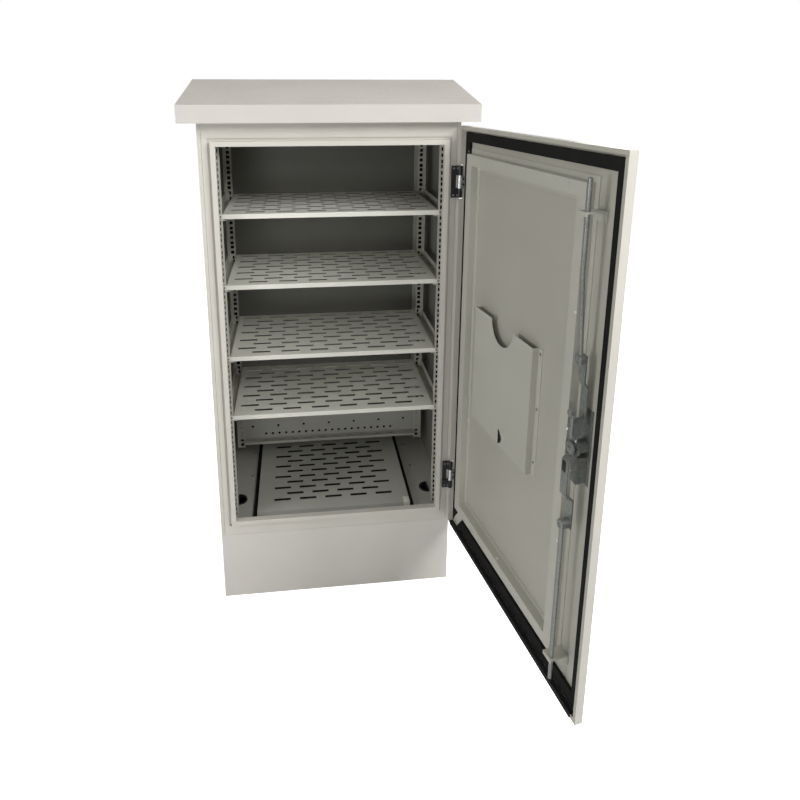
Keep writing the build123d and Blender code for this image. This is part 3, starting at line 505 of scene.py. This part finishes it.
def door_marks():
    """Weld marks with a painted highlight and a plug on the stiffeners, rivets at the pocket and a black pad
    of painted shade behind its hole, and the gasket's pin.
    """
    marks = bmesh.new()
    mark_radius = 3.4
    mark_height = 0.8
    for x, y, z in ((-219.0, stiffener_top, 1018.0), (-219.0, stiffener_top, 543.0),
                    (240.0, stiffener_foot, 1218.0), (240.0, stiffener_foot, 556.0)):
        add_part(marks, dimple(mark_radius, mark_height), facing((x, y, z), backward))
    add_part(marks, dimple(mark_radius, mark_height), facing((27.0, -7.0, 303.0), upward, backward))
    # the marks take the lighter shelf coat as a painted highlight
    finish_piece("weld_marks_painted_highlight", marks, "door", "inner_coat", shelf_coat)
    rivets = bmesh.new()
    for x in (-85.0, 198.0):
        for z in (631.0, 755.0, 879.0):
            add_part(rivets, screw(3.3, 1.4), facing((x, stiffener_foot, z), backward))
    finish_piece("pocket_rivets", rivets, "door", "zinc_plate")
    plug_piece = bmesh.new()
    add_part(plug_piece, dimple(5.2, 1.6), facing((-165.5, stiffener_top, 1241.0), backward))
    finish_piece("stiffener_plug", plug_piece, "door", "inner_coat")
    pin = bmesh.new()
    add_part(pin, screw(2.4, 0.5), facing((287.0, gasket_front - 0.3, 1256.0), backward))
    finish_piece("gasket_pin", pin, "door", "zinc_plate", bright_zinc)
    # a black pad behind the pocket's hole: painted shade that makes the hole look dark
    shade_pad = bmesh.new()
    add_part(shade_pad, plate(26.0, 42.0, 2.0, 5.0, 0.6), facing((43.0, door_sheet, 621.0), backward))
    finish_piece("pocket_painted_shade_pad", shade_pad, "door", "rubber_seal")


def lock_arm():
    """The roller on its arm above the cam, and its bright screws."""
    arm = bmesh.new()
    add_part(arm, plate(12.5, 46.0, 2.0, 3.0, 0.5), facing((lock_x - 0.5, 15.0, lock_z + 45.0), backward))
    roller = turned([(0.0, 9.0), (2.4, 9.0), (2.6, 8.2), (5.6, 8.0), (6.6, 7.0), (6.6, 1.2), (5.8, 0.0),
                     (0.0, 0.0)], 20)
    add_part(arm, roller, facing((lock_x + 0.5, 13.0, lock_z + 71.5), backward))
    finish_piece("lock_arm_and_roller", arm, "upper_rod", "zinc_plate")
    bright = bmesh.new()
    add_part(bright, screw(3.6, 3.2), facing((lock_x + 7.0, 17.0, lock_z + 37.0), (0.25, 1.0, 0.1)))
    add_part(bright, screw(2.4, 1.2), facing((lock_x - 8.0, 7.8, lock_z + 17.0), backward))
    finish_piece("lock_arm_screws", bright, "upper_rod", "zinc_plate", bright_zinc)


def lock_wheel():
    """The toothed wheel on the cam, with its collar and nut."""
    wheel = bmesh.new()
    add_part(wheel, toothed_disc(11.5, 18, 2.4, 2.2), facing((lock_x, 11.0, lock_z), backward))
    collar = turned([(0.0, 1.0), (6.0, 1.0), (6.8, 0.6), (6.8, 0.0), (0.0, 0.0)])
    add_part(wheel, collar, facing((lock_x, 13.4, lock_z), backward))
    add_part(wheel, hexagon(8.0, 3.2), facing((lock_x, 14.4, lock_z), backward))
    finish_piece("lock_wheel", wheel, "lock_turn_body", "zinc_plate")


def lock_case_and_bars():
    """The case's screws, the lower bar's window and the rings and nuts of the two rod eyes."""
    case = bmesh.new()
    case_top = 1.7
    for drop in (33.0, 54.0):
        add_part(case, screw(2.0, 0.9), facing((lock_x + 9.5, case_top, lock_z - drop), backward))
    finish_piece("lock_case_screws", case, "door", "zinc_plate", bright_zinc)
    window = bmesh.new()
    add_part(window, plate(12.0, 23.0, 0.6, 2.5, 0.2), facing((lock_x + 2.0, 21.0, lock_z - 37.0), backward))
    finish_piece("bar_window", window, "lower_rod", "black_coat")
    ring = [(3.2, 0.2), (4.4, 0.6), (5.0, 1.6), (7.6, 1.8), (9.2, 1.2), (9.8, 0.2), (9.8, sunk), (3.2, sunk),
            (3.2, 0.2)]
    for name, body, depth, rise in (
        ("top_rod_eye", "upper_rod", 11.2, 173.0),
        ("bottom_rod_eye", "lower_rod", 21.2, -159.0),
    ):
        eye = bmesh.new()
        place = facing((lock_x, depth, lock_z + rise), backward)
        add_part(eye, turned(ring, 20), place)
        add_part(eye, hexagon(4.6, 1.0), place)
        finish_piece(name, eye, body, "zinc_plate")


def floor_fittings():
    """Floor screws, the foam beside the tray and the tray's corner clip."""
    screws = bmesh.new()
    for side in both_sides:
        for y in (362.0, 238.0):
            add_part(screws, screw(4.2, 2.4), facing((side * 249.0, y, floor_top), upward, backward))
    finish_piece("floor_screws", screws, "cabinet", "zinc_plate")
    foam = bmesh.new()
    for side in both_sides:
        place = facing((tray_middle + side * 224.3, 222.0, tray_foot_top), upward, backward)
        add_part(foam, plate(11.0, 384.0, 6.0, 2.0, 1.6), place)
    finish_piece("tray_side_foam", foam, "cabinet", "foam_seal")
    clip = bmesh.new()
    clip_x = 204.0
    add_part(clip, plate(17.0, 26.0, 1.6, 2.5, 0.4), facing((clip_x, 41.0, tray_top), upward, backward))
    add_part(clip, plate(17.0, 13.0, 1.6, 2.5, 0.4), facing((clip_x, 29.6, 238.2), frontward))
    finish_piece("tray_clip", clip, "cabinet", "inner_coat", shelf_coat)


def rack_fittings():
    """The shelf screws, black sheets of painted shade behind the punched rail faces and the cable bar, and a
    black mat of painted shade under the tray.
    """
    ears = bmesh.new()
    for top in shelf_tops:
        for side in both_sides:
            add_part(ears, screw(3.0, 1.4), facing((side * 278.0, shelf_front, top - 6.0), frontward))
    finish_piece("shelf_screws", ears, "cabinet", "zinc_plate")
    # black sheets behind the punched rail faces and the cable bar: painted shade seen through their holes
    shade_liners = bmesh.new()
    rail_top = 1324.0
    for side in both_sides:
        for depth, foot in ((28.24, 226.0), (316.24, 281.0)):
            place = facing((side * 284.0, depth, (foot + rail_top) / 2), frontward)
            add_part(shade_liners, plate(20.0, rail_top - foot, 0.2, 2.0, 0.05), place)
    add_part(shade_liners, plate(530.0, 70.0, 0.4, 2.0, 0.1), facing((0.0, 318.0, 346.0), frontward))
    finish_piece("rail_painted_shade_liners", shade_liners, "cabinet", "black_coat", painted_shade_liner)
    # a black mat under the tray: painted shade seen through the tray's slots
    shade_mat = bmesh.new()
    place = facing((tray_middle, 222.0, floor_top + 0.1), upward, backward)
    add_part(shade_mat, plate(418.0, 366.0, 5.0, 6.0, 1.5), place)
    finish_piece("tray_painted_shade_mat", shade_mat, "cabinet", "foam_seal")


hinge_fittings()
door_marks()
lock_arm()
lock_wheel()
lock_case_and_bars()
floor_fittings()
rack_fittings()


# Floor, lights and the pale surroundings, in metres and watts
floor_glow = 0.97
sky_fill = 0.06
plinth_reach = (("X", 0.312), ("Y", 0.258))
lamps = (
    ("key_light", (2.5, -2.7, 3.2), (0.0, 0.0, 0.7), 1.6, 92.0),
    ("high_light", (0.9, -3.6, 3.0), (0.0, 0.0, 0.7), 1.6, 24.0),
    ("top_light", (0.0, -0.3, 3.2), (0.0, -0.2, 0.8), 1.6, 8.0),
    ("left_light", (-1.7, -1.1, 1.1), (0.3, -0.6, 0.7), 0.7, 11.5),
    ("left_high_light", (-1.0, -1.2, 2.4), (0.0, -0.3, 0.8), 0.8, 3.0),
    ("front_light", (-0.7, -3.2, 1.2), (0.0, 0.0, 0.6), 0.8, 9.0),
    ("edge_light", (0.85, -1.75, 1.9), (0.44, -0.9, 1.2), 0.3, 4.5),
    ("back_left_light", (-2.4, 2.8, 1.8), (0.0, 0.0, 0.9), 1.6, 50.0),
    ("back_right_light", (2.6, 2.4, 1.8), (0.0, 0.0, 0.9), 1.6, 40.0),
)


def camera_level(tree, unseen, seen):
    """One level for the camera and another for other light, so that a white background adds little light."""
    path = tree.nodes.new("ShaderNodeLightPath")
    return remap(tree, path.outputs["Is Camera Ray"], 0.0, 1.0, unseen, seen)


def outside_plinth(tree):
    """1 on the floor around the plinth and 0 under it, so that no light shows through the cable holes."""
    split = tree.nodes.new("ShaderNodeSeparateXYZ")
    tree.links.new(object_place(tree), split.inputs[0])
    beyond = [arithmetic(tree, "GREATER_THAN", arithmetic(tree, "ABSOLUTE", split.outputs[axis]), reach)
              for axis, reach in plinth_reach]
    return arithmetic(tree, "MAXIMUM", *beyond)


def set_floor():
    """A wide pale floor that looks white to the camera."""
    sheet = bmesh.new()
    bmesh.ops.create_grid(sheet, x_segments=1, y_segments=1, size=40.0)
    mesh = bpy.data.meshes.new("floor")
    sheet.to_mesh(mesh)
    sheet.free()
    floor = bpy.data.objects.new("floor", mesh)
    bpy.context.scene.collection.objects.link(floor)
    pale = bpy.data.materials.new("pale_floor")
    pale.use_nodes = True
    tree = pale.node_tree
    shader = tree.nodes["Principled BSDF"]
    shader.inputs["Base Color"].default_value = (0.8, 0.8, 0.8, 1.0)
    shader.inputs["Roughness"].default_value = 0.9
    shader.inputs["Specular IOR Level"].default_value = 0.1
    shader.inputs["Emission Color"].default_value = (1.0, 1.0, 1.0, 1.0)
    glow = arithmetic(tree, "MULTIPLY", camera_level(tree, 0.0, floor_glow), outside_plinth(tree))
    tree.links.new(glow, shader.inputs["Emission Strength"])
    mesh.materials.append(pale)


def set_sky_and_lamps():
    """A white sky, soft lights at the front, above and at the left, and two behind."""
    world = bpy.data.worlds.new("pale_sky")
    world.use_nodes = True
    sky = world.node_tree.nodes["Background"]
    sky.inputs["Color"].default_value = (1.0, 1.0, 1.0, 1.0)
    world.node_tree.links.new(camera_level(world.node_tree, sky_fill, 1.0), sky.inputs["Strength"])
    bpy.context.scene.world = world
    for name, place, aim, size, power in lamps:
        data = bpy.data.lights.new(name, "AREA")
        data.shape = "DISK"
        data.size = size
        data.energy = power
        lamp = bpy.data.objects.new(name, data)
        lamp.location = place
        lamp.rotation_euler = (Vector(aim) - Vector(place)).to_track_quat("-Z", "Y").to_euler()
        bpy.context.scene.collection.objects.link(lamp)
    bpy.context.scene.view_settings.view_transform = "Standard"


set_floor()
set_sky_and_lamps()
set_camera()
